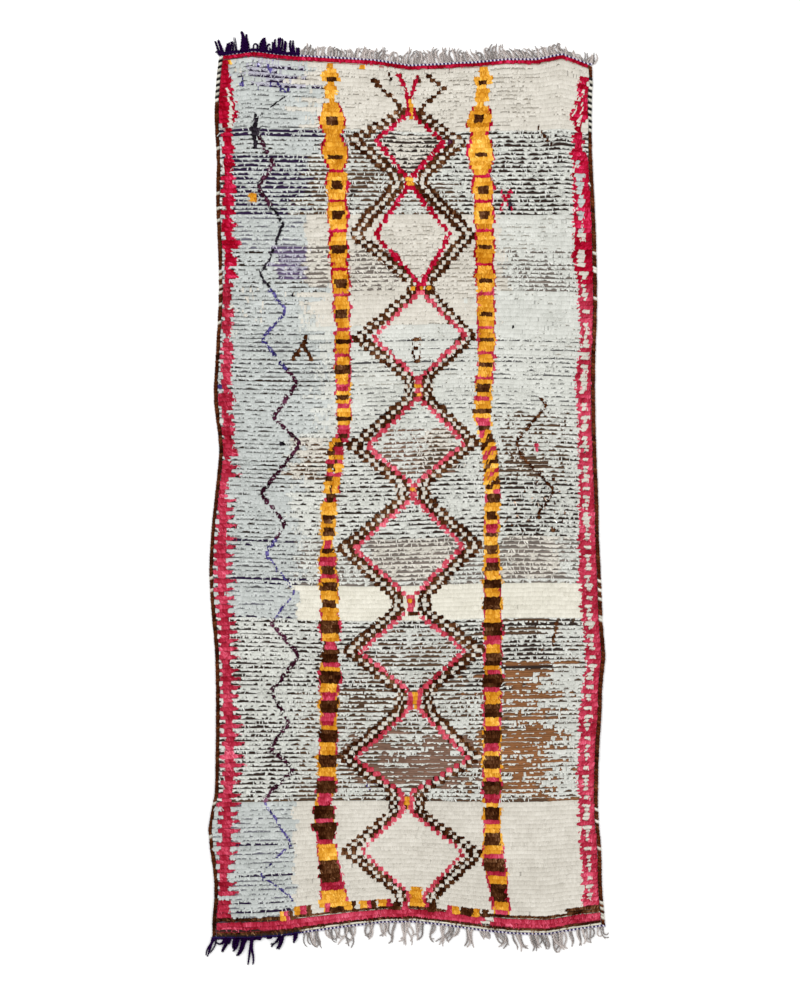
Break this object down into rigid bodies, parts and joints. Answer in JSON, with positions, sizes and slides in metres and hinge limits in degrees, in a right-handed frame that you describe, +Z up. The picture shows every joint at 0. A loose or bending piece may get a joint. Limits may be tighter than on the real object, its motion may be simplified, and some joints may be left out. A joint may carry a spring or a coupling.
{
  "type": "azilal runner rug",
  "caption": "Long hand-knotted wool runner rug lying flat, with short ribbed pile, overcast sides, twined ends and a loose fringe at each end.",
  "frame": {"origin": "middle of the whole rug with its fringes, on the floor under it", "axes": "+Y along the rug towards its head end, +X across it to the right as seen from above with the head end up, +Z up from the floor"},
  "size_m": [1.2018, 2.7831, 0.0127],
  "materials": {
    "field_wool": "short matt hand-spun wool pile in cream and pale green rows over light and dark brown weft, with crimson, yellow and brown knots",
    "selvedge_wool": "dark brown wool overcast round the side cords, with some white and black stitches",
    "purple_wool": "deep purple dyed wool warp ends, matt",
    "grey_wool": "undyed grey-white twisted wool warp ends, matt"
  },
  "bodies": {
    "root": {"field": "field_wool", "left_selvedge": "selvedge_wool", "right_selvedge": "selvedge_wool", "head_fringe_purple": "purple_wool", "head_fringe_grey": "grey_wool", "foot_fringe_purple": "purple_wool", "foot_fringe_grey": "grey_wool"}
  },
  "joints": []
}
